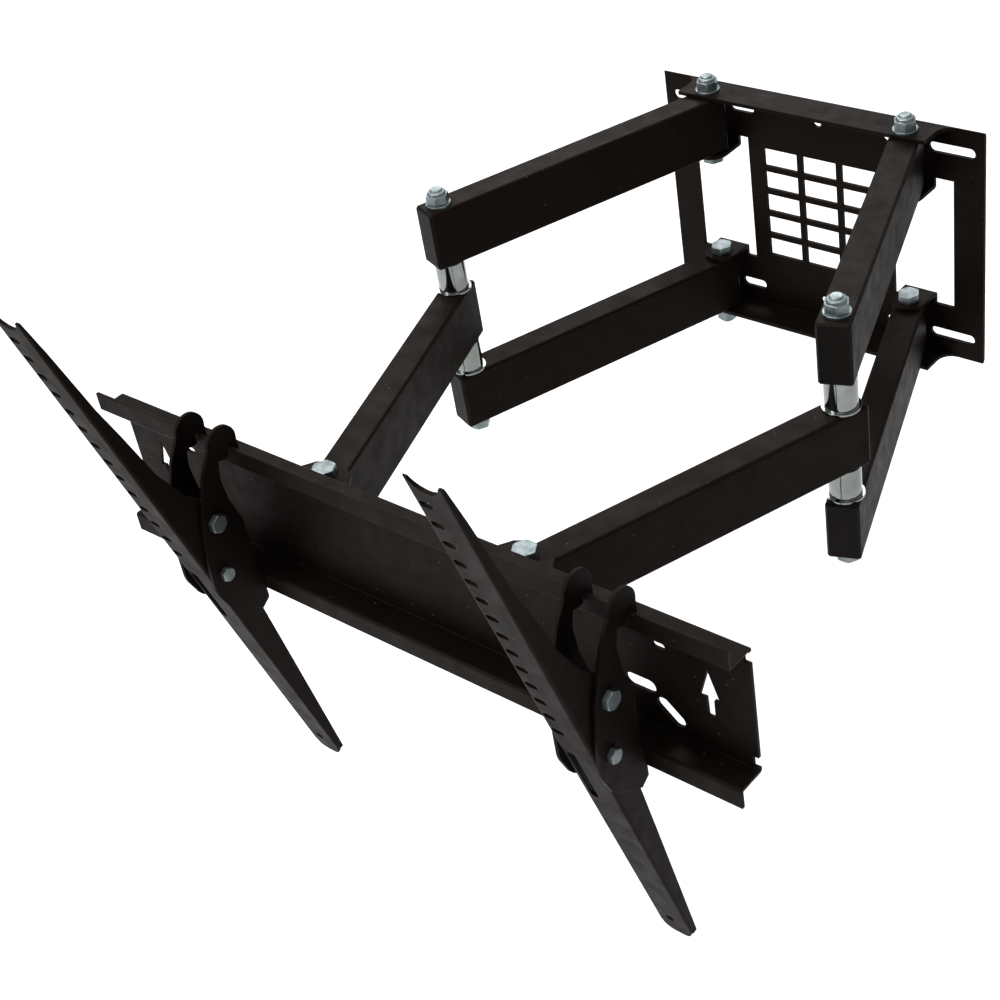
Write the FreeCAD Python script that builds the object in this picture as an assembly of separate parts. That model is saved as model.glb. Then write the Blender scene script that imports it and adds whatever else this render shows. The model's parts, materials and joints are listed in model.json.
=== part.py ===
import FreeCAD, Part
import math
import os

# Dual-arm full motion TV wall mount.  Millimetres, +Z up, the wall at +Y,
# the television side at -Y.  Origin: centre of the wall-bolt slot pattern,
# on the back face of the wall plate.

V = FreeCAD.Vector
X, Y, Z = V(1, 0, 0), V(0, 1, 0), V(0, 0, 1)

# --- linkage -------------------------------------------------------------
LINK = 207.0            # pivot to pivot, rear and front arms alike
PIVOT_X = 74.0          # half spacing of the pivots, at wall and rail alike
PIVOT_Y = -17.0         # wall pivots in front of the wall
REST_ANGLE = 20.0       # arms' angle out from straight ahead
ELBOW_X = PIVOT_X + LINK * math.sin(math.radians(REST_ANGLE))
ELBOW_Y = PIVOT_Y - LINK * math.cos(math.radians(REST_ANGLE))
FRONT_Y = 2 * ELBOW_Y - PIVOT_Y

# --- arms: 20 x 40 rectangular tube --------------------------------------
TUBE_W, TUBE_H, TUBE_T = 20.0, 40.0, 1.6
TUBE_END = 10.0         # tube beyond the pivot centre
TUBE_R = 2.0            # outside corner radius
CAP_T, CAP_PLUG = 2.0, 4.0
BOSS_R = 6.0            # spacer tube welded in at each pivot
ARM_GAP = 0.3           # running gap over and under an arm
FRONT_TOP = TUBE_H / 2
REAR_LOW, REAR_TOP = 41.2, 41.2 + TUBE_H

# --- fasteners -----------------------------------------------------------
M8_R, M8_AF, M8_HEAD, M8_NUT = 4.0, 13.0, 5.3, 8.0
M6_R, M6_AF, M6_HEAD, M6_NUT = 3.0, 10.0, 3.8, 6.0
M5_R, M5_AF, M5_HEAD, M5_NUT = 2.5, 8.0, 3.5, 5.0
FIXED = 0.02            # radial room of a shank in a part it doesn't turn in
BORE_R = 4.1            # running bore on an M8 shank
FREE_BORE_R = 4.5       # right rail pivot
WASHER_R, WASHER_T = 8.0, 1.6

# --- elbow sleeves -------------------------------------------------------
SLEEVE_R, SLEEVE_LIP_R, SLEEVE_LIP_H = 9.7, 11.4, 1.2
SLEEVE_GAP = 0.1

# --- wall plate ----------------------------------------------------------
PLATE_W, PLATE_H, PLATE_T = 240.0, 168.0, 2.5
FLANGE_Y, FLANGE_X = -25.5, 92.0
FLANGE_SWEEP = 10.0     # radius of the concave foot of each flange end
SLOT_X, SLOT_Z, SLOT_LEN, SLOT_W = 98.0, 68.0, 32.0, 7.0
INNER_X, INNER_Z, INNER_LEN, INNER_W = 58.0, 68.0, 19.0, 6.6
CENTRE_HOLE_R = 3.5
WINDOW_X0, WINDOW_X1, WINDOW_Z = 55.0, 99.0, 46.5
EAR_HALF = 11.5         # half width of an ear and radius of its tip
GRILLE_COLS, GRILLE_ROWS = 3, 5
GRILLE_W, GRILLE_H = 90.0, 86.0
BAR = 4.0               # bars of the grille

# --- front rail ----------------------------------------------------------
RAIL_L, RAIL_H, RAIL_T = 452.0, 82.0, 2.0
RAIL_BACK = FRONT_Y - 15.5
WEB_FRONT = RAIL_BACK - RAIL_T
LIP_FRONT = RAIL_BACK - 18.5
LIP_BACK = LIP_FRONT + RAIL_T
LIP_H = 10.5
CLEVIS_T, CLEVIS_HALF = 2.5, 20.0
CLEVIS_TIP_Y = FRONT_Y + 10.5

# --- hook brackets and TV brackets ---------------------------------------
HOOK_X = {"left": -124.0, "right": 155.0}
CHEEK_IN, CHEEK_T = 12.2, 2.2
HOOK_GAP = 0.8          # play round the rail's upper lip
HOOK_WEB_Y = LIP_FRONT - 3.5
HOOK_WEB_TOP = 2.0
TILT_Y, TILT_Z = LIP_FRONT - 22.0, 13.5
LOCK_Y, LOCK_Z = LIP_FRONT - 25.5, -21.0
TILT = 16.5             # forward lean at rest
TILT_BACK = -3.5        # backward lean at the other end of the slot
TV_HALF, TV_T, TV_FRONT = 11.5, 2.0, 22.0
TV_TOP, TV_BOTTOM, TV_FOOT = 187.0, 221.0, 229.0
TV_LINE = -5.4          # the slots' centre line, off the middle of the face
TV_SLOTS, TV_SLOT_TOP, TV_SLOT_PITCH = 14, 170.0, 14.0
TV_SLOT_LEN, TV_SLOT_W = 7.5, 4.4


# --- helpers -------------------------------------------------------------
def box(x0, x1, y0, y1, z0, z1):
    return Part.makeBox(x1 - x0, y1 - y0, z1 - z0, V(x0, y0, z0))


def rod(x, y, z0, z1, r):
    return Part.makeCylinder(r, z1 - z0, V(x, y, z0), Z)


def rod_x(x0, x1, y, z, r):
    return Part.makeCylinder(r, x1 - x0, V(x0, y, z), X)


def prism(points, axis, a0, a1):
    """A polygon pushed along an axis: (y, z) for X, (x, z) for Y, (x, y) for Z."""
    place = {"x": lambda p: V(a0, p[0], p[1]),
             "y": lambda p: V(p[0], a0, p[1]),
             "z": lambda p: V(p[0], p[1], a0)}[axis]
    ring = [place(p) for p in points]
    face = Part.Face(Part.makePolygon(ring + ring[:1]))
    return face.extrude({"x": X, "y": Y, "z": Z}[axis] * (a1 - a0))


def slot_y(x, z, length, width, y0, y1, turn=0.0):
    """A round-ended slot cut along Y, its long way along X before the turn."""
    half, r = length / 2 - width / 2, width / 2
    body = box(-half, half, y0, y1, -r, r)
    for end in (-half, half):
        body = body.fuse(Part.makeCylinder(r, y1 - y0, V(end, y0, 0), Y))
    body.rotate(V(0, 0, 0), Y, -turn)
    body.translate(V(x, 0, z))
    return body


def hexagon(af, h):
    r = af / math.sqrt(3)
    points = [(r * math.cos(math.radians(60 * i)), r * math.sin(math.radians(60 * i)))
              for i in range(6)]
    body = prism(points, "z", 0, h)
    crown = Part.makeCone(r + 0.1 + h, r - 0.5, h + 0.6, V(0, 0, -0.6), Z)
    return body.common(crown)


def bolt(r, af, head, length):
    """Head up on +Z from z = 0, shank down."""
    shank = Part.makeCylinder(r, length, V(0, 0, -length), Z)
    tip = [e for e in shank.Edges if abs(e.CenterOfMass.z + length) < 0.01]
    return hexagon(af, head).fuse(shank.makeChamfer(0.6, tip)).removeSplitter()


def lock_nut(r, af, h):
    """Standing on z = 0, the nylon collar at the top."""
    body = hexagon(af, h * 0.75)
    collar = Part.makeCylinder(af / 2 - 0.7, h, V(0, 0, 0), Z)
    rim = [e for e in collar.Edges if abs(e.CenterOfMass.z - h) < 0.01 and e.Closed]
    body = body.fuse(collar.makeFillet(1.0, rim))
    return body.cut(Part.makeCylinder(r, h, V(0, 0, 0), Z)).removeSplitter()


def washer(r):
    ring = Part.makeCylinder(WASHER_R, WASHER_T)
    return ring.cut(Part.makeCylinder(r, WASHER_T))


def at(shape, x, y, z, upside_down=False):
    out = shape.copy()
    if upside_down:
        out.rotate(V(0, 0, 0), X, 180)
    out.translate(V(x, y, z))
    return out


def lying(shape, x, y, z):
    """A +Z piece laid over to point along +X."""
    out = shape.copy()
    out.rotate(V(0, 0, 0), Y, 90)
    out.translate(V(x, y, z))
    return out


def round_edges(shape, radius, wanted):
    edges = [e for e in shape.Edges if wanted(e)]
    return shape.makeFillet(radius, edges) if edges else shape


def near(edge, **spot):
    c = edge.CenterOfMass
    return all(abs(getattr(c, k) - v) < 0.05 for k, v in spot.items())


def save(name, *solids):
    shape = solids[0] if len(solids) == 1 else Part.makeCompound(list(solids))
    shape.exportStep("parts/%s.step" % name)


# --- wall plate ----------------------------------------------------------
def flange_outline():
    """Plan of the plate with its flanges: square front corners, concave feet."""
    r = FLANGE_SWEEP
    cx, cy = FLANGE_X + r, -PLATE_T - r
    arc = [(cx - r * math.cos(a), cy + r * math.sin(a))
           for a in [math.radians(90 * i / 8) for i in range(9)]]
    right = [(FLANGE_X, FLANGE_Y)] + arc + [(PLATE_W / 2, -PLATE_T), (PLATE_W / 2, 0)]
    left = [(-x, y) for x, y in reversed(right)]
    return prism(right + left, "z", -PLATE_H, PLATE_H)


def wall_ear(side, level):
    """Clevis ear folded forward out of a window; level +1 upper arm, -1 lower."""
    top = REAR_LOW - ARM_GAP
    low = top - PLATE_T
    x0, x1 = PIVOT_X - EAR_HALF, PIVOT_X + EAR_HALF
    neck = box(x0, x1, -PLATE_T, 0, low, WINDOW_Z + 1)
    ear = box(x0, x1, PIVOT_Y, 0, low, top).fuse([rod(PIVOT_X, PIVOT_Y, low, top, EAR_HALF), neck])
    ear = ear.removeSplitter()
    ear = round_edges(ear, PLATE_T * 0.8, lambda e: near(e, y=0, z=low))
    if side < 0:
        ear = ear.mirror(V(0, 0, 0), X)
    if level < 0:
        ear = ear.mirror(V(0, 0, 0), Z)
    return ear


def wall_plate():
    half_w, half_h = PLATE_W / 2, PLATE_H / 2
    body = box(-half_w, half_w, FLANGE_Y, 0, -half_h, half_h)
    body = body.cut(box(-half_w, half_w, FLANGE_Y, -PLATE_T,
                        -half_h + PLATE_T, half_h - PLATE_T))
    body = round_edges(body, 3.0, lambda e: near(e, y=0, z=half_h) or near(e, y=0, z=-half_h))
    body = body.common(flange_outline())
    cuts = [box(s * (WINDOW_X0 + WINDOW_X1) / 2 - (WINDOW_X1 - WINDOW_X0) / 2,
                s * (WINDOW_X0 + WINDOW_X1) / 2 + (WINDOW_X1 - WINDOW_X0) / 2,
                -PLATE_T, 0, -WINDOW_Z, WINDOW_Z) for s in (-1, 1)]
    step_x, step_z = GRILLE_W / GRILLE_COLS, GRILLE_H / GRILLE_ROWS
    for i in range(GRILLE_COLS):
        for j in range(GRILLE_ROWS):
            x = -GRILLE_W / 2 + i * step_x
            z = -GRILLE_H / 2 + j * step_z
            cuts.append(box(x + BAR / 2, x + step_x - BAR / 2, -PLATE_T, 0,
                            z + BAR / 2, z + step_z - BAR / 2))
    for sx in (-1, 1):
        for sz in (-1, 1):
            cuts.append(slot_y(sx * SLOT_X, sz * SLOT_Z, SLOT_LEN, SLOT_W, -PLATE_T, 0))
            cuts.append(slot_y(sx * INNER_X, sz * INNER_Z, INNER_LEN, INNER_W, -PLATE_T, 0))
    for sz in (-1, 1):
        cuts.append(Part.makeCylinder(CENTRE_HOLE_R, PLATE_T, V(0, -PLATE_T, sz * SLOT_Z), Y))
    body = body.cut(Part.makeCompound(cuts))
    ears = [wall_ear(s, k) for s in (-1, 1) for k in (-1, 1)]
    body = body.fuse(ears)
    holes = [rod(s * PIVOT_X, PIVOT_Y, -half_h - 1, half_h + 1, M8_R + FIXED) for s in (-1, 1)]
    return body.cut(Part.makeCompound(holes)).removeSplitter()


# --- arms ----------------------------------------------------------------
def tube(length, z0):
    """Rectangular tube along -Y, its first pivot at the origin."""
    w, y1, y0 = TUBE_W / 2, TUBE_END, -length - TUBE_END
    body = box(-w, w, y0, y1, z0, z0 + TUBE_H)
    body = round_edges(body, TUBE_R, lambda e: abs(e.BoundBox.YLength - (y1 - y0)) < 0.01)
    t = TUBE_T
    hollow = box(-w + t, w - t, y0, y1, z0 + t, z0 + TUBE_H - t)
    return body.cut(hollow)


def arm(z0, bores, trim_start):
    """A tube with a spacer welded in at both pivots."""
    body = tube(LINK, z0)
    y_far = -LINK - TUBE_END
    trims = []
    w, c = TUBE_W / 2, 4.5
    ends = [(TUBE_END, -1)] if trim_start else [(y_far, 1)]
    for y, inward in ends:
        for s in (-1, 1):
            corner = [(s * w, y), (s * (w - c), y), (s * w, y + inward * c)]
            trims.append(prism(corner, "z", z0, z0 + TUBE_H))
    for y in (0.0, -LINK):
        body = body.fuse(rod(0, y, z0, z0 + TUBE_H, BOSS_R))
    body = body.cut(Part.makeCompound(trims))
    for y, r in zip((0.0, -LINK), bores):
        body = body.cut(rod(0, y, z0, z0 + TUBE_H, r))
    return body.removeSplitter()


def end_cap(z0, far):
    """Plug closing the elbow end of a tube, flush outside with the tube."""
    w, t, h = TUBE_W / 2, TUBE_T + 0.15, TUBE_H
    plate = box(-w, w, 0, CAP_T, z0, z0 + h)
    plate = round_edges(plate, TUBE_R, lambda e: abs(e.BoundBox.YLength - CAP_T) < 0.01)
    rim = [e for e in plate.Edges if near(e, y=CAP_T, z=z0)]
    plate = plate.makeChamfer(1.4, rim)
    plug = box(-w + t, w - t, -CAP_PLUG, 0, z0 + t, z0 + h - t)
    cap = plate.fuse(plug).removeSplitter()
    if far:
        cap.rotate(V(0, 0, 0), Z, 180)
        cap.translate(V(0, -LINK - TUBE_END, 0))
    else:
        cap.translate(V(0, TUBE_END, 0))
    return cap


def place_arm(shape, x, y, angle):
    """Swing a -Y arm by an angle towards +X and stand it on its pivot."""
    out = shape.copy()
    out.rotate(V(0, 0, 0), Z, angle)
    out.translate(V(x, y, 0))
    return out


def sleeve(z0, z1):
    body = Part.makeCylinder(SLEEVE_R, z1 - z0, V(0, 0, z0), Z)
    lip = Part.makeCylinder(SLEEVE_LIP_R, SLEEVE_LIP_H, V(0, 0, z0), Z)
    return body.fuse(lip).cut(Part.makeCylinder(M8_R + FIXED, z1 - z0, V(0, 0, z0), Z))


# --- front rail ----------------------------------------------------------
def arrow(x, z):
    """Up arrow, its head 19 tall and 12 wide over a 4.5 wide stem."""
    outline = [(0, 15), (6.2, -4.5), (2.4, -4.0), (2.2, -16), (-2.2, -16), (-2.4, -4.0),
               (-6.2, -4.5)]
    return prism([(x + a, z + b) for a, b in outline], "y", WEB_FRONT - 1, RAIL_BACK + 1)


def front_rail():
    half_l, half_h, t = RAIL_L / 2, RAIL_H / 2, RAIL_T
    section = [(RAIL_BACK, -half_h), (RAIL_BACK, half_h), (LIP_BACK, half_h),
               (LIP_BACK, half_h + LIP_H), (LIP_FRONT, half_h + LIP_H),
               (LIP_FRONT, half_h - t), (WEB_FRONT, half_h - t),
               (WEB_FRONT, -half_h + t), (LIP_FRONT, -half_h + t),
               (LIP_FRONT, -half_h - LIP_H), (LIP_BACK, -half_h - LIP_H),
               (LIP_BACK, -half_h)]
    body = prism(section, "x", -half_l, half_l)
    bends = [(RAIL_BACK, half_h), (RAIL_BACK, -half_h),
             (LIP_FRONT, half_h - t), (LIP_FRONT, -half_h + t)]
    body = round_edges(body, 1.8, lambda e: any(near(e, x=0, y=y, z=z) for y, z in bends))
    cuts = []
    y0, y1 = WEB_FRONT - 1, RAIL_BACK + 1
    for s in (-1, 1):
        cuts.append(arrow(s * 200.0, 0.0))
        cuts.append(slot_y(s * 171.5, 18.0, 8.0, 4.2, y0, y1))
        cuts.append(slot_y(s * 157.0, -13.5, 19.0, 8.6, y0, y1))
        cuts.append(slot_y(s * 174.5, -25.5, 19.5, 8.2, y0, y1, -s * 42))
        for k in (-1, 1):
            x0, x1 = sorted((s * half_l, s * (half_l - 3.5)))
            z0, z1 = sorted((k * (half_h - 10.0), k * (half_h - 3.0)))
            cuts.append(box(x0, x1, y0, y1, z0, z1))
    return body.cut(Part.makeCompound(cuts)).removeSplitter()


def clevis(x):
    """U bracket welded to the back of the rail, an ear over and under the arm."""
    t, half = CLEVIS_T, CLEVIS_HALF
    low = FRONT_TOP + ARM_GAP
    y_web = RAIL_BACK + t
    plan = [(-half, RAIL_BACK), (half, RAIL_BACK), (half, FRONT_Y - 2),
            (half - 6, FRONT_Y + 7), (half - 12, CLEVIS_TIP_Y), (12 - half, CLEVIS_TIP_Y),
            (6 - half, FRONT_Y + 7), (-half, FRONT_Y - 2)]
    body = prism(plan, "z", -low - t, low + t)
    body = body.cut(box(-half, half, y_web, CLEVIS_TIP_Y, -low, low))
    body = round_edges(body, 2.0, lambda e: near(e, x=0, y=RAIL_BACK, z=low + t)
                       or near(e, x=0, y=RAIL_BACK, z=-low - t))
    body = body.cut(rod(0, FRONT_Y, -low - t, low + t, M8_R + FIXED))
    body.translate(V(x, 0, 0))
    return body


# --- hook brackets -------------------------------------------------------
def hook_outline():
    """Side view of a cheek, (y, z): hook, slender neck, wide lower plate, foot."""
    lip, top = LIP_FRONT, RAIL_H / 2 + LIP_H
    finger = LIP_BACK + HOOK_GAP
    tip = top - 5.5
    return [(finger + 4.4, top + 5), (finger + 4.4, tip), (finger, tip),
            (finger, top + HOOK_GAP), (lip - HOOK_GAP, top + HOOK_GAP),
            (lip - 7.5, top - 0.5), (lip - 11, top - 13), (lip - 9, 21),
            (HOOK_WEB_Y, 3), (HOOK_WEB_Y, -36), (lip - 1, -38), (lip - 1, -57),
            (lip - 7, -61), (lip - 28, -47), (lip - 35, -31), (lip - 35, -10),
            (lip - 32, 14), (lip - 26.5, 31), (lip - 21, 46), (lip - 13.2, top + 6)]


def hook_bracket(x):
    """Folded U: two hooked cheeks, joined low down by a web in front of the rail."""
    wide = CHEEK_IN + CHEEK_T
    lip, top = LIP_FRONT, RAIL_H / 2 + LIP_H
    finger = LIP_BACK + HOOK_GAP
    web_front = HOOK_WEB_Y - CHEEK_T
    body = prism(hook_outline(), "x", -wide, wide)
    for y, z, radius in ((lip - 7.5, top - 0.5, 3), (lip - 11, top - 13, 25), (lip - 9, 21, 25),
                         (HOOK_WEB_Y, 3, 4), (lip - 28, -47, 12), (lip - 35, -31, 20),
                         (lip - 35, -10, 40), (lip - 32, 14, 40), (lip - 21, 46, 25)):
        body = round_edges(body, radius, lambda e: near(e, x=0, y=y, z=z))
    head = rod_x(-wide, wide, lip - 3, top + 5, 10.5)
    gap = box(-wide, wide, lip - HOOK_GAP, finger, top - 20, top + HOOK_GAP)
    behind = box(-wide, wide, finger, finger + 20, top - 20, top - 5.5)
    body = body.fuse(head).removeSplitter().cut(Part.makeCompound([gap, behind]))
    hollow = [box(-CHEEK_IN, CHEEK_IN, web_front - 60, web_front, -80, 90),
              box(-CHEEK_IN, CHEEK_IN, web_front, lip + 20, HOOK_WEB_TOP, 90),
              box(-CHEEK_IN, CHEEK_IN, HOOK_WEB_Y, lip + 20, -80, HOOK_WEB_TOP)]
    for piece in hollow:
        body = body.cut(piece)
    body = body.cut(rod_x(-wide, wide, TILT_Y, TILT_Z, M6_R + FIXED))
    body = body.cut(rod_x(-wide, wide, LOCK_Y, LOCK_Z, M5_R + FIXED)).removeSplitter()
    body.translate(V(x, 0, 0))
    return body


# --- TV brackets ---------------------------------------------------------
def tv_bracket(x):
    """Channel with V-shaped flanges, drawn upright round the tilt axis."""
    front, back = -TV_FRONT, TV_T - TV_FRONT
    outline = [(front, TV_TOP), (front + 1.5, TV_TOP), (front + 3.4, 163), (front + 6, 115),
               (front + 8.5, 91), (front + 11.5, 55), (-4, 28), (6, 10), (9, 0), (9, -20),
               (3.8, -38), (-4, -60), (-6.2, -80), (front + 13, -114),
               (front + 4, -TV_BOTTOM), (front, -TV_BOTTOM)]
    body = prism(outline, "x", -TV_HALF, TV_HALF)
    for y, z, radius in ((-4, 28, 20), (6, 10, 14), (9, -20, 12), (-4, -60, 30)):
        body = round_edges(body, radius, lambda e: near(e, x=0, y=y, z=z))
    body = round_edges(body, 1.8, lambda e: near(e, y=front, z=(TV_TOP - TV_BOTTOM) / 2))
    inside = TV_HALF - TV_T
    body = body.cut(box(-inside, inside, back, 60, -TV_BOTTOM, TV_TOP))
    tongue = box(-inside, inside, front, back, -TV_FOOT, -TV_BOTTOM)
    tongue = round_edges(tongue, 7.0, lambda e: near(e, z=-TV_FOOT, y=(front + back) / 2))
    body = body.fuse(tongue)
    y0, y1 = front - 1, back + 1
    cuts = [Part.makeCylinder(9, 60, V(0, front - 5, TV_TOP + 2), Y),
            Part.makeCylinder(2.75, y1 - y0, V(-1.5, y0, -212), Y)]
    long_slot = slot_y(TV_LINE, 0, 44, 5.4, y0, y1)
    long_slot.rotate(V(TV_LINE, 0, 0), Y, 90)
    cuts.append(at(long_slot, 0, 0, -54))
    for i in range(TV_SLOTS):
        z = TV_SLOT_TOP - i * TV_SLOT_PITCH
        cuts.append(slot_y(TV_LINE, z, TV_SLOT_LEN, TV_SLOT_W, y0, y1))
    cuts.append(rod_x(-20, 20, 0, 0, M6_R + 0.08))
    cuts += lock_slot()
    body = body.cut(Part.makeCompound(cuts)).removeSplitter()
    body.rotate(V(0, 0, 0), X, TILT)
    body.translate(V(x, TILT_Y, TILT_Z))
    return body


def lock_slot():
    """Arc slot for the lock bolt, as pieces along X in the upright bracket."""
    dy, dz = LOCK_Y - TILT_Y, LOCK_Z - TILT_Z
    reach = math.hypot(dy, dz)
    start = math.degrees(math.atan2(dy, -dz)) - TILT
    sweep = TILT - TILT_BACK
    r = M5_R + 0.4
    ring = rod_x(-20, 20, 0, 0, reach + r).cut(rod_x(-20, 20, 0, 0, reach - r))
    rays = [(0.0, 0.0)]
    for i in range(5):
        a = math.radians(start + sweep * i / 4)
        rays.append((2 * reach * math.sin(a), -2 * reach * math.cos(a)))
    pieces = [ring.common(prism(rays, "x", -20, 20))]
    for angle in (start, start + sweep):
        a = math.radians(angle)
        pieces.append(rod_x(-20, 20, reach * math.sin(a), -reach * math.cos(a), r))
    return pieces


# --- build ---------------------------------------------------------------
os.makedirs("parts", exist_ok=True)
save("wall_plate", wall_plate())

m8_nut = lock_nut(M8_R, M8_AF, M8_NUT)
m8_washer = washer(M8_R)
half = PLATE_H / 2
ear_face = REAR_LOW - ARM_GAP - PLATE_T
wall_bolt = bolt(M8_R, M8_AF, M8_HEAD, half + WASHER_T + M8_NUT + 1.5 - ear_face)
bolts, nuts, rings = [], [], []
for px in (-PIVOT_X, PIVOT_X):
    bolts += [at(wall_bolt, px, PIVOT_Y, ear_face, True), at(wall_bolt, px, PIVOT_Y, -ear_face)]
    rings += [at(m8_washer, px, PIVOT_Y, half), at(m8_washer, px, PIVOT_Y, -half, True)]
    nuts += [at(m8_nut, px, PIVOT_Y, half + WASHER_T),
             at(m8_nut, px, PIVOT_Y, -half - WASHER_T, True)]
save("wall_pivot_bolts", *bolts)
save("wall_pivot_washers", *rings)
save("wall_pivot_nuts", *nuts)

elbow_bolt = bolt(M8_R, M8_AF, M8_HEAD, 2 * (REAR_TOP + WASHER_T) + M8_NUT + 1.5)
for side, s in (("left", -1), ("right", 1)):
    px, ex = s * PIVOT_X, s * ELBOW_X
    for level, z0 in (("upper", REAR_LOW), ("lower", -REAR_TOP)):
        rear = arm(z0, (BORE_R, M8_R + FIXED), True)
        save("%s_%s_rear_arm" % (side, level), place_arm(rear, px, PIVOT_Y, s * REST_ANGLE))
        cap = end_cap(z0, True)
        save("%s_%s_rear_arm_cap" % (side, level), place_arm(cap, px, PIVOT_Y, s * REST_ANGLE))
    last_bore = BORE_R if side == "left" else FREE_BORE_R
    front = arm(-FRONT_TOP, (BORE_R, last_bore), False)
    save("%s_front_arm" % side, place_arm(front, ex, ELBOW_Y, -s * REST_ANGLE))
    cap = end_cap(-FRONT_TOP, False)
    save("%s_front_arm_cap" % side, place_arm(cap, ex, ELBOW_Y, -s * REST_ANGLE))
    save("%s_elbow_upper_sleeve" % side,
         at(sleeve(FRONT_TOP + SLEEVE_GAP, REAR_LOW), ex, ELBOW_Y, 0))
    save("%s_elbow_lower_sleeve" % side,
         at(sleeve(-REAR_LOW, -FRONT_TOP - SLEEVE_GAP), ex, ELBOW_Y, 0))
    save("%s_elbow_bolt" % side,
         at(elbow_bolt, ex, ELBOW_Y, -REAR_TOP - WASHER_T, True))
    save("%s_elbow_washers" % side, at(m8_washer, ex, ELBOW_Y, REAR_TOP),
         at(m8_washer, ex, ELBOW_Y, -REAR_TOP, True))
    save("%s_elbow_nut" % side, at(m8_nut, ex, ELBOW_Y, REAR_TOP + WASHER_T))

save("front_rail", front_rail())
ear_top = FRONT_TOP + ARM_GAP + CLEVIS_T
rail_bolt = bolt(M8_R, M8_AF, M8_HEAD, 2 * ear_top + M8_NUT + 1.5)
for side, s in (("left", -1), ("right", 1)):
    save("%s_rail_clevis" % side, clevis(s * PIVOT_X))
save("rail_pivot_bolts", *[at(rail_bolt, x, FRONT_Y, ear_top) for x in (-PIVOT_X, PIVOT_X)])
save("rail_pivot_nuts", *[at(m8_nut, x, FRONT_Y, -ear_top, True) for x in (-PIVOT_X, PIVOT_X)])

wide = CHEEK_IN + CHEEK_T
tilt_bolt = bolt(M6_R, M6_AF, M6_HEAD, 2 * wide + M6_NUT + 1.5)
lock_bolt = bolt(M5_R, M5_AF, M5_HEAD, 2 * wide + M5_NUT + 1.5)
m6_nut, m5_nut = lock_nut(M6_R, M6_AF, M6_NUT), lock_nut(M5_R, M5_AF, M5_NUT)
for side, x in HOOK_X.items():
    save("%s_hook_bracket" % side, hook_bracket(x))
    save("%s_tilt_bolt" % side, lying(tilt_bolt, x + wide, TILT_Y, TILT_Z))
    save("%s_lock_bolt" % side, lying(lock_bolt, x + wide, LOCK_Y, LOCK_Z))
    save("%s_tilt_nuts" % side,
         lying(at(m6_nut, 0, 0, 0, True), x - wide, TILT_Y, TILT_Z),
         lying(at(m5_nut, 0, 0, 0, True), x - wide, LOCK_Y, LOCK_Z))
    save("%s_tv_bracket" % side, tv_bracket(x))
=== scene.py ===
import bpy
import bmesh
import json
import math
from mathutils import Matrix, Vector


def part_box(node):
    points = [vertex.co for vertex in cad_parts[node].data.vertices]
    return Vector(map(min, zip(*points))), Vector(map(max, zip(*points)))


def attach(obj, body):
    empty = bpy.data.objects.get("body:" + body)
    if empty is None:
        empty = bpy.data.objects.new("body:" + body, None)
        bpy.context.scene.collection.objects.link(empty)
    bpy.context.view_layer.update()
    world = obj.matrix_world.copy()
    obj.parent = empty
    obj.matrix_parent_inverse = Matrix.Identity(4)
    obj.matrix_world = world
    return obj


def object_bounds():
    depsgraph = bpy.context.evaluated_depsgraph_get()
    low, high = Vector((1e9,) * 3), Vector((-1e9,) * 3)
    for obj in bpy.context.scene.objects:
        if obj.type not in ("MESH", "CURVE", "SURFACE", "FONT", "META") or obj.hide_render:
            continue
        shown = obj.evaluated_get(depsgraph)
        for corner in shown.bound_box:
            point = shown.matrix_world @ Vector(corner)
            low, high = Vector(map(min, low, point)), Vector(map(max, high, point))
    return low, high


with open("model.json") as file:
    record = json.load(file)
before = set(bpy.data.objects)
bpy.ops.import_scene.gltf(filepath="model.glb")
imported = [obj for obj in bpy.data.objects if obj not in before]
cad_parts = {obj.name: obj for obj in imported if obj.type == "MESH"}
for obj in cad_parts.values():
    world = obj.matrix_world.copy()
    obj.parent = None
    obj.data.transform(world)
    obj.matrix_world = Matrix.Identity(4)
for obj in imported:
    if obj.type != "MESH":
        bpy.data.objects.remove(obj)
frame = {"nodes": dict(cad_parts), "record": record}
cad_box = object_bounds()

MM = 0.001
SIDES = ("left", "right")


# --- camera, floor and light ----------------------------------------------
AZIMUTH, ELEVATION, ROLL = 46.14, 36.47, -10.62     # degrees
LENS = 67.1                                         # mm, on a 36 mm sensor
CAMERA_AT = Vector((0.6184, -0.9398, 0.6249))
FLOOR_DROP = 0.16                                   # floor below the lowest point
FLOOR_HALF = 40.0                                   # half the floor's width


def make_camera():
    a, e, r = (math.radians(v) for v in (AZIMUTH, ELEVATION, ROLL))
    back = Vector((math.sin(a) * math.cos(e), -math.cos(a) * math.cos(e), math.sin(e)))
    right = Vector((math.cos(a), math.sin(a), 0.0))
    up = back.cross(right)
    x = right * math.cos(r) + up * math.sin(r)
    y = up * math.cos(r) - right * math.sin(r)
    data = bpy.data.cameras.new("photo_camera")
    data.lens, data.sensor_width = LENS, 36.0
    data.clip_start, data.clip_end = 0.02, 50.0
    cam = bpy.data.objects.new("photo_camera", data)
    turn = Matrix((x, y, back)).transposed().to_4x4()
    cam.matrix_world = Matrix.Translation(CAMERA_AT) @ turn
    bpy.context.scene.collection.objects.link(cam)
    bpy.context.scene.camera = cam


def make_floor():
    lo, _ = cad_box
    mesh = bpy.data.meshes.new("floor")
    bm = bmesh.new()
    bmesh.ops.create_grid(bm, x_segments=1, y_segments=1, size=FLOOR_HALF)
    bm.to_mesh(mesh)
    bm.free()
    floor = bpy.data.objects.new("floor", mesh)
    floor.location = (0, 0, lo.z - FLOOR_DROP)
    bpy.context.scene.collection.objects.link(floor)
    mesh.materials.append(floor_material())


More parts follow.
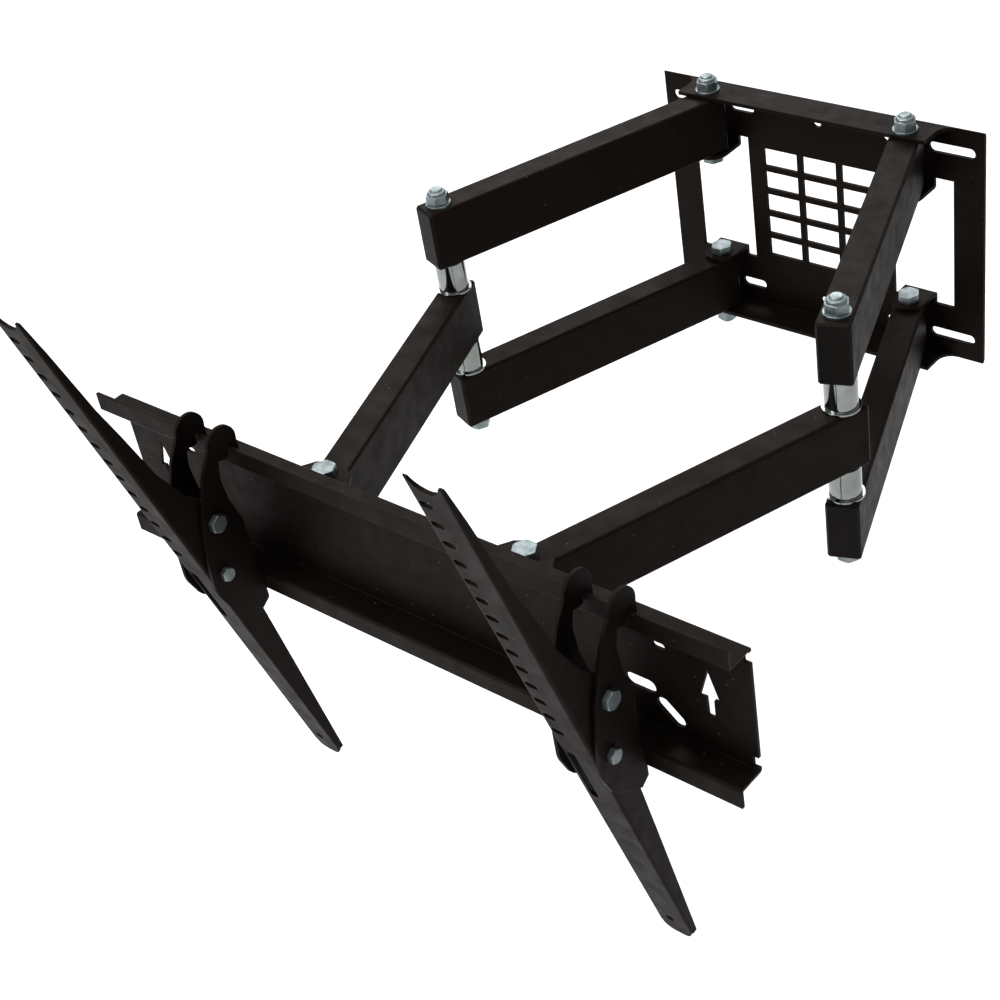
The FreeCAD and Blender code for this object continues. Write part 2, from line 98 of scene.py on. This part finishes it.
def area_light(name, at, look_at, size, power):
    data = bpy.data.lights.new(name, "AREA")
    data.shape, data.size, data.size_y = "RECTANGLE", size[0], size[1]
    data.energy = power
    lamp = bpy.data.objects.new(name, data)
    lamp.location = at
    lamp.rotation_mode = "QUATERNION"
    lamp.rotation_quaternion = (Vector(look_at) - Vector(at)).to_track_quat("-Z", "Y")
    bpy.context.scene.collection.objects.link(lamp)


def make_light():
    centre = (cad_box[0] + cad_box[1]) / 2
    world = bpy.data.worlds.new("studio")
    bpy.context.scene.world = world
    world.use_nodes = True
    world.node_tree.nodes["Background"].inputs["Color"].default_value = (1.0, 1.0, 1.0, 1)
    world.node_tree.nodes["Background"].inputs["Strength"].default_value = 0.62
    area_light("top_softbox", centre + Vector((-0.3, -0.2, 2.2)), centre, (1.6, 1.6), 46.0)
    area_light("front_softbox", centre + Vector((-0.9, -1.7, 1.2)), centre, (0.7, 1.4), 30.0)
    area_light("back_softbox", centre + Vector((-1.1, 1.3, 1.2)), centre, (1.3, 0.5), 16.0)
    bpy.context.scene.view_settings.view_transform = "Standard"


# --- material helpers -----------------------------------------------------
class Nodes:
    """A short way to write one material's node tree."""

    def __init__(self, name):
        self.mat = bpy.data.materials.new(name)
        self.mat.use_nodes = True
        self.tree = self.mat.node_tree
        self.bsdf = self.tree.nodes["Principled BSDF"]
        self.coords = self.add("ShaderNodeTexCoord").outputs["Object"]

    def add(self, kind, **settings):
        node = self.tree.nodes.new(kind)
        for key, value in settings.items():
            setattr(node, key, value)
        return node

    def put(self, value, socket):
        if isinstance(value, bpy.types.NodeSocket):
            self.tree.links.new(value, socket)
        else:
            socket.default_value = value

    def set(self, **values):
        for name, value in values.items():
            self.put(value, self.bsdf.inputs[name.replace("_", " ")])

    def noise(self, scale, detail=2.0, rough=0.5, stretch=None):
        node = self.add("ShaderNodeTexNoise")
        node.inputs["Scale"].default_value = scale
        node.inputs["Detail"].default_value = detail
        node.inputs["Roughness"].default_value = rough
        self.put(self.stretched(stretch) if stretch else self.coords, node.inputs["Vector"])
        return node.outputs["Fac"]

    def stretched(self, by):
        node = self.add("ShaderNodeMapping")
        node.inputs["Scale"].default_value = by
        self.put(self.coords, node.inputs["Vector"])
        return node.outputs["Vector"]

    def cells(self, scale, output):
        node = self.add("ShaderNodeTexVoronoi")
        node.inputs["Scale"].default_value = scale
        self.put(self.coords, node.inputs["Vector"])
        return node.outputs[output]

    def ramp(self, value, low, high, out_low=0.0, out_high=1.0):
        node = self.add("ShaderNodeMapRange")
        for slot, v in (("From Min", low), ("From Max", high), ("To Min", out_low),
                        ("To Max", out_high)):
            node.inputs[slot].default_value = v
        self.put(value, node.inputs["Value"])
        return node.outputs["Result"]

    def math(self, kind, a, b=0.0):
        node = self.add("ShaderNodeMath", operation=kind)
        self.put(a, node.inputs[0])
        self.put(b, node.inputs[1])
        return node.outputs[0]

    def mix(self, fac, a, b):
        node = self.add("ShaderNodeMix", data_type="RGBA")
        self.put(fac, node.inputs["Factor"])
        self.put(a, node.inputs[6])
        self.put(b, node.inputs[7])
        return node.outputs[2]

    def rounded(self, radius):
        node = self.add("ShaderNodeBevel", samples=6)
        node.inputs["Radius"].default_value = radius
        return node.outputs["Normal"]

    def edge_mask(self, radius, start=0.02, full=0.25):
        """1 along worn edges, 0 on flats, from how far a rounded normal leans."""
        geometry = self.add("ShaderNodeNewGeometry")
        dot = self.add("ShaderNodeVectorMath", operation="DOT_PRODUCT")
        self.put(self.rounded(radius), dot.inputs[0])
        self.put(geometry.outputs["Normal"], dot.inputs[1])
        lean = self.math("SUBTRACT", 1.0, dot.outputs["Value"])
        return self.ramp(lean, start, full)

    def bump(self, height, depth, strength=1.0, normal=None):
        node = self.add("ShaderNodeBump")
        node.inputs["Strength"].default_value = strength
        node.inputs["Distance"].default_value = depth
        self.put(height, node.inputs["Height"])
        if normal is not None:
            self.put(normal, node.inputs["Normal"])
        self.put(node.outputs["Normal"], self.bsdf.inputs["Normal"])


def grey(v):
    return (v, v, v, 1.0)


# --- materials ------------------------------------------------------------
def floor_material():
    n = Nodes("floor_paper")
    tone = n.ramp(n.noise(3.0, 3.0), 0.3, 0.7)
    n.set(Base_Color=n.mix(tone, grey(0.84), grey(0.87)),
          Roughness=n.ramp(n.noise(40.0), 0.3, 0.7, 0.75, 0.9))
    n.bump(n.noise(900.0), 0.0002, 0.2)
    return n.mat


def powder_coat():
    """Near-black, slightly brown, finely textured, with pale dust specks and worn edges."""
    n = Nodes("powder_coat")
    cloud = n.ramp(n.noise(24.0, 4.0, 0.6), 0.35, 0.65)
    grain = n.ramp(n.noise(2600.0, 3.0, 0.6), 0.3, 0.7)
    base = n.mix(cloud, (0.0022, 0.0013, 0.0009, 1), (0.0034, 0.0022, 0.0016, 1))
    base = n.mix(n.math("MULTIPLY", grain, 0.5), base, (0.0068, 0.0049, 0.0040, 1))
    picked = n.add("ShaderNodeSeparateColor")
    n.put(n.cells(260.0, "Color"), picked.inputs["Color"])
    chosen = n.math("GREATER_THAN", picked.outputs["Red"], 0.86)
    size = n.ramp(picked.outputs["Green"], 0.0, 1.0, 0.05, 0.13)
    dot = n.math("LESS_THAN", n.cells(260.0, "Distance"), size)
    speck = n.math("MULTIPLY", n.math("MULTIPLY", chosen, dot), 0.6)
    base = n.mix(speck, base, (0.09, 0.085, 0.08, 1))
    patchy = n.ramp(n.noise(180.0, 3.0), 0.35, 0.75, 0.25, 1.0)
    wear = n.math("MULTIPLY", n.edge_mask(0.0007), patchy)
    base = n.mix(n.math("MULTIPLY", wear, 0.5), base, (0.03, 0.0265, 0.0245, 1))
    rough = n.math("SUBTRACT", n.ramp(n.noise(90.0, 4.0), 0.3, 0.7, 0.46, 0.6),
                   n.math("MULTIPLY", wear, 0.08))
    n.set(Base_Color=base, Roughness=rough, Specular_IOR_Level=0.055,
          Specular_Tint=(1.0, 0.8, 0.7, 1))
    n.bump(n.noise(1500.0, 2.0, 0.55), 0.00007, 0.5, n.rounded(0.0006))
    return n.mat


def cap_plastic():
    """Matt moulded plastic with a fine leathery grain."""
    n = Nodes("cap_plastic")
    tone = n.ramp(n.noise(60.0, 3.0), 0.35, 0.65)
    base = n.mix(tone, (0.0027, 0.0018, 0.0014, 1), (0.0044, 0.0032, 0.0026, 1))
    wear = n.edge_mask(0.0008)
    base = n.mix(n.math("MULTIPLY", wear, 0.45), base, (0.026, 0.0235, 0.022, 1))
    n.set(Base_Color=base, Roughness=n.ramp(n.noise(700.0), 0.3, 0.7, 0.5, 0.62),
          Specular_IOR_Level=0.08)
    n.bump(n.cells(1100.0, "Distance"), 0.00006, 0.45, n.rounded(0.0008))
    return n.mat


def chrome():
    """Polished plate with faint rubbed haze and hairline scratches along the turn."""
    n = Nodes("chrome")
    haze = n.ramp(n.noise(55.0, 5.0, 0.65), 0.35, 0.75)
    scratch = n.noise(420.0, 2.0, 0.7, stretch=(0.06, 0.06, 9.0))
    line = n.ramp(scratch, 0.58, 0.72)
    n.set(Base_Color=n.mix(haze, (0.25, 0.265, 0.255, 1), (0.15, 0.16, 0.148, 1)), Metallic=1.0,
          Roughness=n.math("ADD", n.ramp(haze, 0.0, 1.0, 0.05, 0.16),
                           n.math("MULTIPLY", line, 0.12)))
    n.bump(scratch, 0.00001, 0.35, n.rounded(0.0004))
    return n.mat


def zinc():
    """Zinc-plated steel: cool grey, cloudy crystals, rubbed bright on the edges."""
    n = Nodes("zinc")
    cloud = n.ramp(n.noise(220.0, 4.0, 0.6), 0.32, 0.7)
    base = n.mix(cloud, (0.12, 0.145, 0.15, 1), (0.22, 0.255, 0.26, 1))
    stain = n.ramp(n.noise(90.0, 5.0, 0.7), 0.58, 0.74)
    base = n.mix(n.math("MULTIPLY", stain, 0.45), base, (0.13, 0.13, 0.11, 1))
    wear = n.edge_mask(0.0006)
    base = n.mix(n.math("MULTIPLY", wear, 0.6), base, (0.36, 0.39, 0.4, 1))
    n.set(Base_Color=base, Metallic=1.0,
          Roughness=n.math("SUBTRACT", n.ramp(cloud, 0.0, 1.0, 0.48, 0.36),
                           n.math("MULTIPLY", wear, 0.08)))
    n.bump(n.noise(1300.0, 3.0), 0.00003, 0.5, n.rounded(0.0005))
    return n.mat


def nylon():
    """Pale blue-grey insert of a lock nut."""
    n = Nodes("nylon")
    tone = n.ramp(n.noise(300.0, 3.0), 0.3, 0.7)
    n.set(Base_Color=n.mix(tone, (0.17, 0.205, 0.22, 1), (0.25, 0.29, 0.3, 1)),
          Roughness=n.ramp(n.noise(500.0), 0.3, 0.7, 0.35, 0.5),
          Subsurface_Weight=0.15)
    n.bump(n.noise(900.0), 0.00004, 0.3)
    return n.mat


def weld():
    """Painted weld: the coat, over the ripples of the bead."""
    n = Nodes("painted_weld")
    tone = n.ramp(n.noise(400.0, 4.0), 0.3, 0.7)
    n.set(Base_Color=n.mix(tone, (0.0025, 0.0016, 0.0012, 1), (0.0075, 0.0058, 0.005, 1)),
          Roughness=n.ramp(n.noise(260.0), 0.3, 0.7, 0.4, 0.56), Specular_IOR_Level=0.08)
    n.bump(n.noise(700.0, 3.0), 0.00025, 0.6)
    return n.mat


# --- piece helpers --------------------------------------------------------
def solids(name):
    """The boxes (low corner, high corner) of the separate solids in one CAD node."""
    bm = bmesh.new()
    bm.from_mesh(frame["nodes"][name].data)
    bmesh.ops.remove_doubles(bm, verts=bm.verts, dist=1e-6)
    seen, boxes = set(), []
    for start in bm.verts:
        if start in seen:
            continue
        seen.add(start)
        queue, points = [start], []
        while queue:
            vert = queue.pop()
            points.append(vert.co.copy())
            for edge in vert.link_edges:
                other = edge.other_vert(vert)
                if other not in seen:
                    seen.add(other)
                    queue.append(other)
        boxes.append((Vector(min(p[i] for p in points) for i in range(3)),
                      Vector(max(p[i] for p in points) for i in range(3))))
    bm.free()
    return boxes


def piece(name, bm, body, material):
    """A smooth-shaded object from a bmesh, riding on a body."""
    mesh = bpy.data.meshes.new(name)
    bmesh.ops.recalc_face_normals(bm, faces=bm.faces)
    bm.to_mesh(mesh)
    bm.free()
    for face in mesh.polygons:
        face.use_smooth = True
    mesh.materials.append(material)
    obj = bpy.data.objects.new(name, mesh)
    bpy.context.scene.collection.objects.link(obj)
    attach(obj, body)
    return obj


def axes_for(direction):
    """Two unit vectors square to a direction."""
    across = Vector((0, 1, 0)) if abs(direction.y) < 0.5 else Vector((1, 0, 0))
    side = direction.cross(across).normalized()
    return side, direction.cross(side)


def lathe(profile, at, direction, steps=40):
    """A closed (radius, height) profile turned about an axis."""
    u, v = axes_for(direction)
    bm = bmesh.new()
    rings = []
    for i in range(steps):
        a = 2 * math.pi * i / steps
        out = u * math.cos(a) + v * math.sin(a)
        rings.append([bm.verts.new(at + out * r + direction * h) for r, h in profile])
    for i in range(steps):
        for j in range(len(profile)):
            k = (j + 1) % len(profile)
            bm.faces.new((rings[i][j], rings[i][k], rings[i - 1][k], rings[i - 1][j]))
    return bm


def thread(at, direction, radius, pitch, length, depth):
    """The ridge of a screw thread, wound up from a point and tapered at both ends."""
    u, v = axes_for(direction)
    per_turn = 36
    steps = int(per_turn * length / pitch)
    bm = bmesh.new()
    rows = []
    for i in range(steps + 1):
        a = 2 * math.pi * i / per_turn
        out = u * math.cos(a) + v * math.sin(a)
        fade = min(1.0, 6.0 * min(i, steps - i) / steps)
        h = pitch * i / per_turn
        half = 0.42 * pitch * (0.35 + 0.65 * fade)
        section = ((radius - 0.1 * MM, h - half), (radius + depth * fade, h),
                   (radius - 0.1 * MM, h + half))
        rows.append([bm.verts.new(at + out * r + direction * z) for r, z in section])
    for low, high in zip(rows, rows[1:]):
        for j in range(3):
            bm.faces.new((low[j], low[(j + 1) % 3], high[(j + 1) % 3], high[j]))
    bm.faces.new(rows[0])
    bm.faces.new(rows[-1])
    return bm


def weld_bead(start, end, radius, ripple):
    """A fillet weld along a corner: overlapping scallops, thinner at both ends."""
    run = end - start
    direction = run.normalized()
    u, v = axes_for(direction)
    rings, around = int(run.length / (0.35 * MM)), 14
    bm = bmesh.new()
    loops = []
    for i in range(rings + 1):
        t = i / rings
        scallop = (run.length * t / ripple) % 1.0
        size = radius * (0.86 + 0.14 * math.sin(math.pi * scallop))
        size *= min(1.0, 0.35 + 9.0 * min(t, 1.0 - t)) * (1.0 + 0.05 * math.sin(37.0 * t))
        centre = start + run * t + v * (0.12 * radius * math.sin(23.0 * t))
        loops.append([bm.verts.new(centre + size * (u * math.cos(2 * math.pi * j / around)
                                                    + v * math.sin(2 * math.pi * j / around)))
                      for j in range(around)])
    for low, high in zip(loops, loops[1:]):
        for j in range(around):
            k = (j + 1) % around
            bm.faces.new((low[j], low[k], high[k], high[j]))
    bm.faces.new(loops[0])
    bm.faces.new(loops[-1])
    return bm


# --- lock nuts and bolt ends ----------------------------------------------
SHANK = {"M8": 4.0 * MM, "M6": 3.0 * MM, "M5": 2.5 * MM}
PITCH = {"M8": 1.25 * MM, "M6": 1.0 * MM, "M5": 0.8 * MM}
THREAD_LENGTH, THREAD_DEPTH = 1.0 * MM, 0.22 * MM
BARE_TIP = 0.75 * MM        # chamfered end of a bolt, with no thread
RING_WIDTH = 1.15 * MM
UP, DOWN, LEFTWARD = Vector((0, 0, 1)), Vector((0, 0, -1)), Vector((-1, 0, 0))


def end_of(box, direction):
    """The middle of a box's face on the side that a direction points to."""
    lo, hi = box
    middle, half = (lo + hi) / 2, (hi - lo) / 2
    return middle + Vector(direction[i] * half[i] for i in range(3))


def nylon_ring(name, box, direction, size, body):
    """The insert that shows as a pale ring inside a lock nut's collar."""
    r = SHANK[size]
    inner, outer, depth = r - 0.05 * MM, r + RING_WIDTH, -1.2 * MM
    profile = [(inner, depth), (inner, 0.02 * MM), (r + 0.25 * MM, 0.16 * MM),
               (r + 0.95 * MM, 0.12 * MM), (outer, -0.1 * MM), (outer, depth)]
    bm = lathe(profile, end_of(box, direction), direction)
    piece(name, bm, body, finish["nylon"])


def bolt_thread(name, box, direction, size, body):
    """A turn of thread on the bolt's end, where it stands past the nut."""
    at = end_of(box, direction) - direction * (THREAD_LENGTH + BARE_TIP)
    bm = thread(at, direction, SHANK[size], PITCH[size], THREAD_LENGTH, THREAD_DEPTH)
    piece(name, bm, body, finish["zinc"])


def dress(nuts, bolts, direction, sizes, body):
    """Nylon rings and threads for one node of nuts and the bolts that they hold."""
    tag = "up" if direction.z > 0.5 else "down" if direction.z < -0.5 else "side"
    for i, (box, size) in enumerate(zip(nuts, sizes), 1):
        nylon_ring("%s_nylon_%d_%s" % (body, i, tag), box, direction, size, body)
    for i, (box, size) in enumerate(zip(bolts, sizes), 1):
        bolt_thread("%s_thread_%d_%s" % (body, i, tag), box, direction, size, body)


def above(boxes, sign):
    """The boxes over (+1) or under (-1) the middle of the mount."""
    return [b for b in boxes if sign * (b[0].z + b[1].z) > 0]


def dress_fasteners():
    nuts, bolts = solids("wall_pivot_nuts"), solids("wall_pivot_bolts")
    dress(above(nuts, 1), above(bolts, 1), UP, ("M8", "M8"), "wall")
    dress(above(nuts, -1), above(bolts, -1), DOWN, ("M8", "M8"), "wall")
    dress(solids("rail_pivot_nuts"), solids("rail_pivot_bolts"), DOWN, ("M8", "M8"), "rail")
    for side in SIDES:
        dress(solids(side + "_elbow_nut"), solids(side + "_elbow_bolt"), UP, ("M8",),
              side + "_rear_arms")
        nuts = sorted(solids(side + "_tilt_nuts"), key=lambda b: -b[0].z)
        bolts = solids(side + "_tilt_bolt") + solids(side + "_lock_bolt")
        dress(nuts, bolts, LEFTWARD, ("M6", "M5"), side + "_hook")


# --- welds ----------------------------------------------------------------
BEAD_R, BEAD_RIPPLE = 2.0 * MM, 2.4 * MM
BEAD_INSET, BEAD_RISE, BEAD_SINK = 3.0 * MM, 0.5 * MM, 0.4 * MM


def clevis_welds():
    """Beads along the top and bottom of each clevis, where it meets the rail's back."""
    for side in SIDES:
        lo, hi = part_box(side + "_rail_clevis")
        for tag, z in (("upper", hi.z - BEAD_SINK), ("lower", lo.z + BEAD_SINK)):
            start = Vector((lo.x + BEAD_INSET, lo.y + BEAD_RISE, z))
            end = Vector((hi.x - BEAD_INSET, lo.y + BEAD_RISE, z))
            bm = weld_bead(start, end, BEAD_R, BEAD_RIPPLE)
            piece("%s_clevis_%s_weld" % (side, tag), bm, "rail", finish["weld"])


# --- build ----------------------------------------------------------------
make_camera()
make_floor()
make_light()
finish = {"powder_coat": powder_coat(), "cap_plastic": cap_plastic(), "chrome": chrome(),
          "zinc": zinc(), "nylon": nylon(), "weld": weld()}
for row in frame["record"]["subparts"]:
    node = frame["nodes"][row["node"]]
    node.data.materials.clear()
    node.data.materials.append(finish[row["material_slot"]])
dress_fasteners()
clevis_welds()
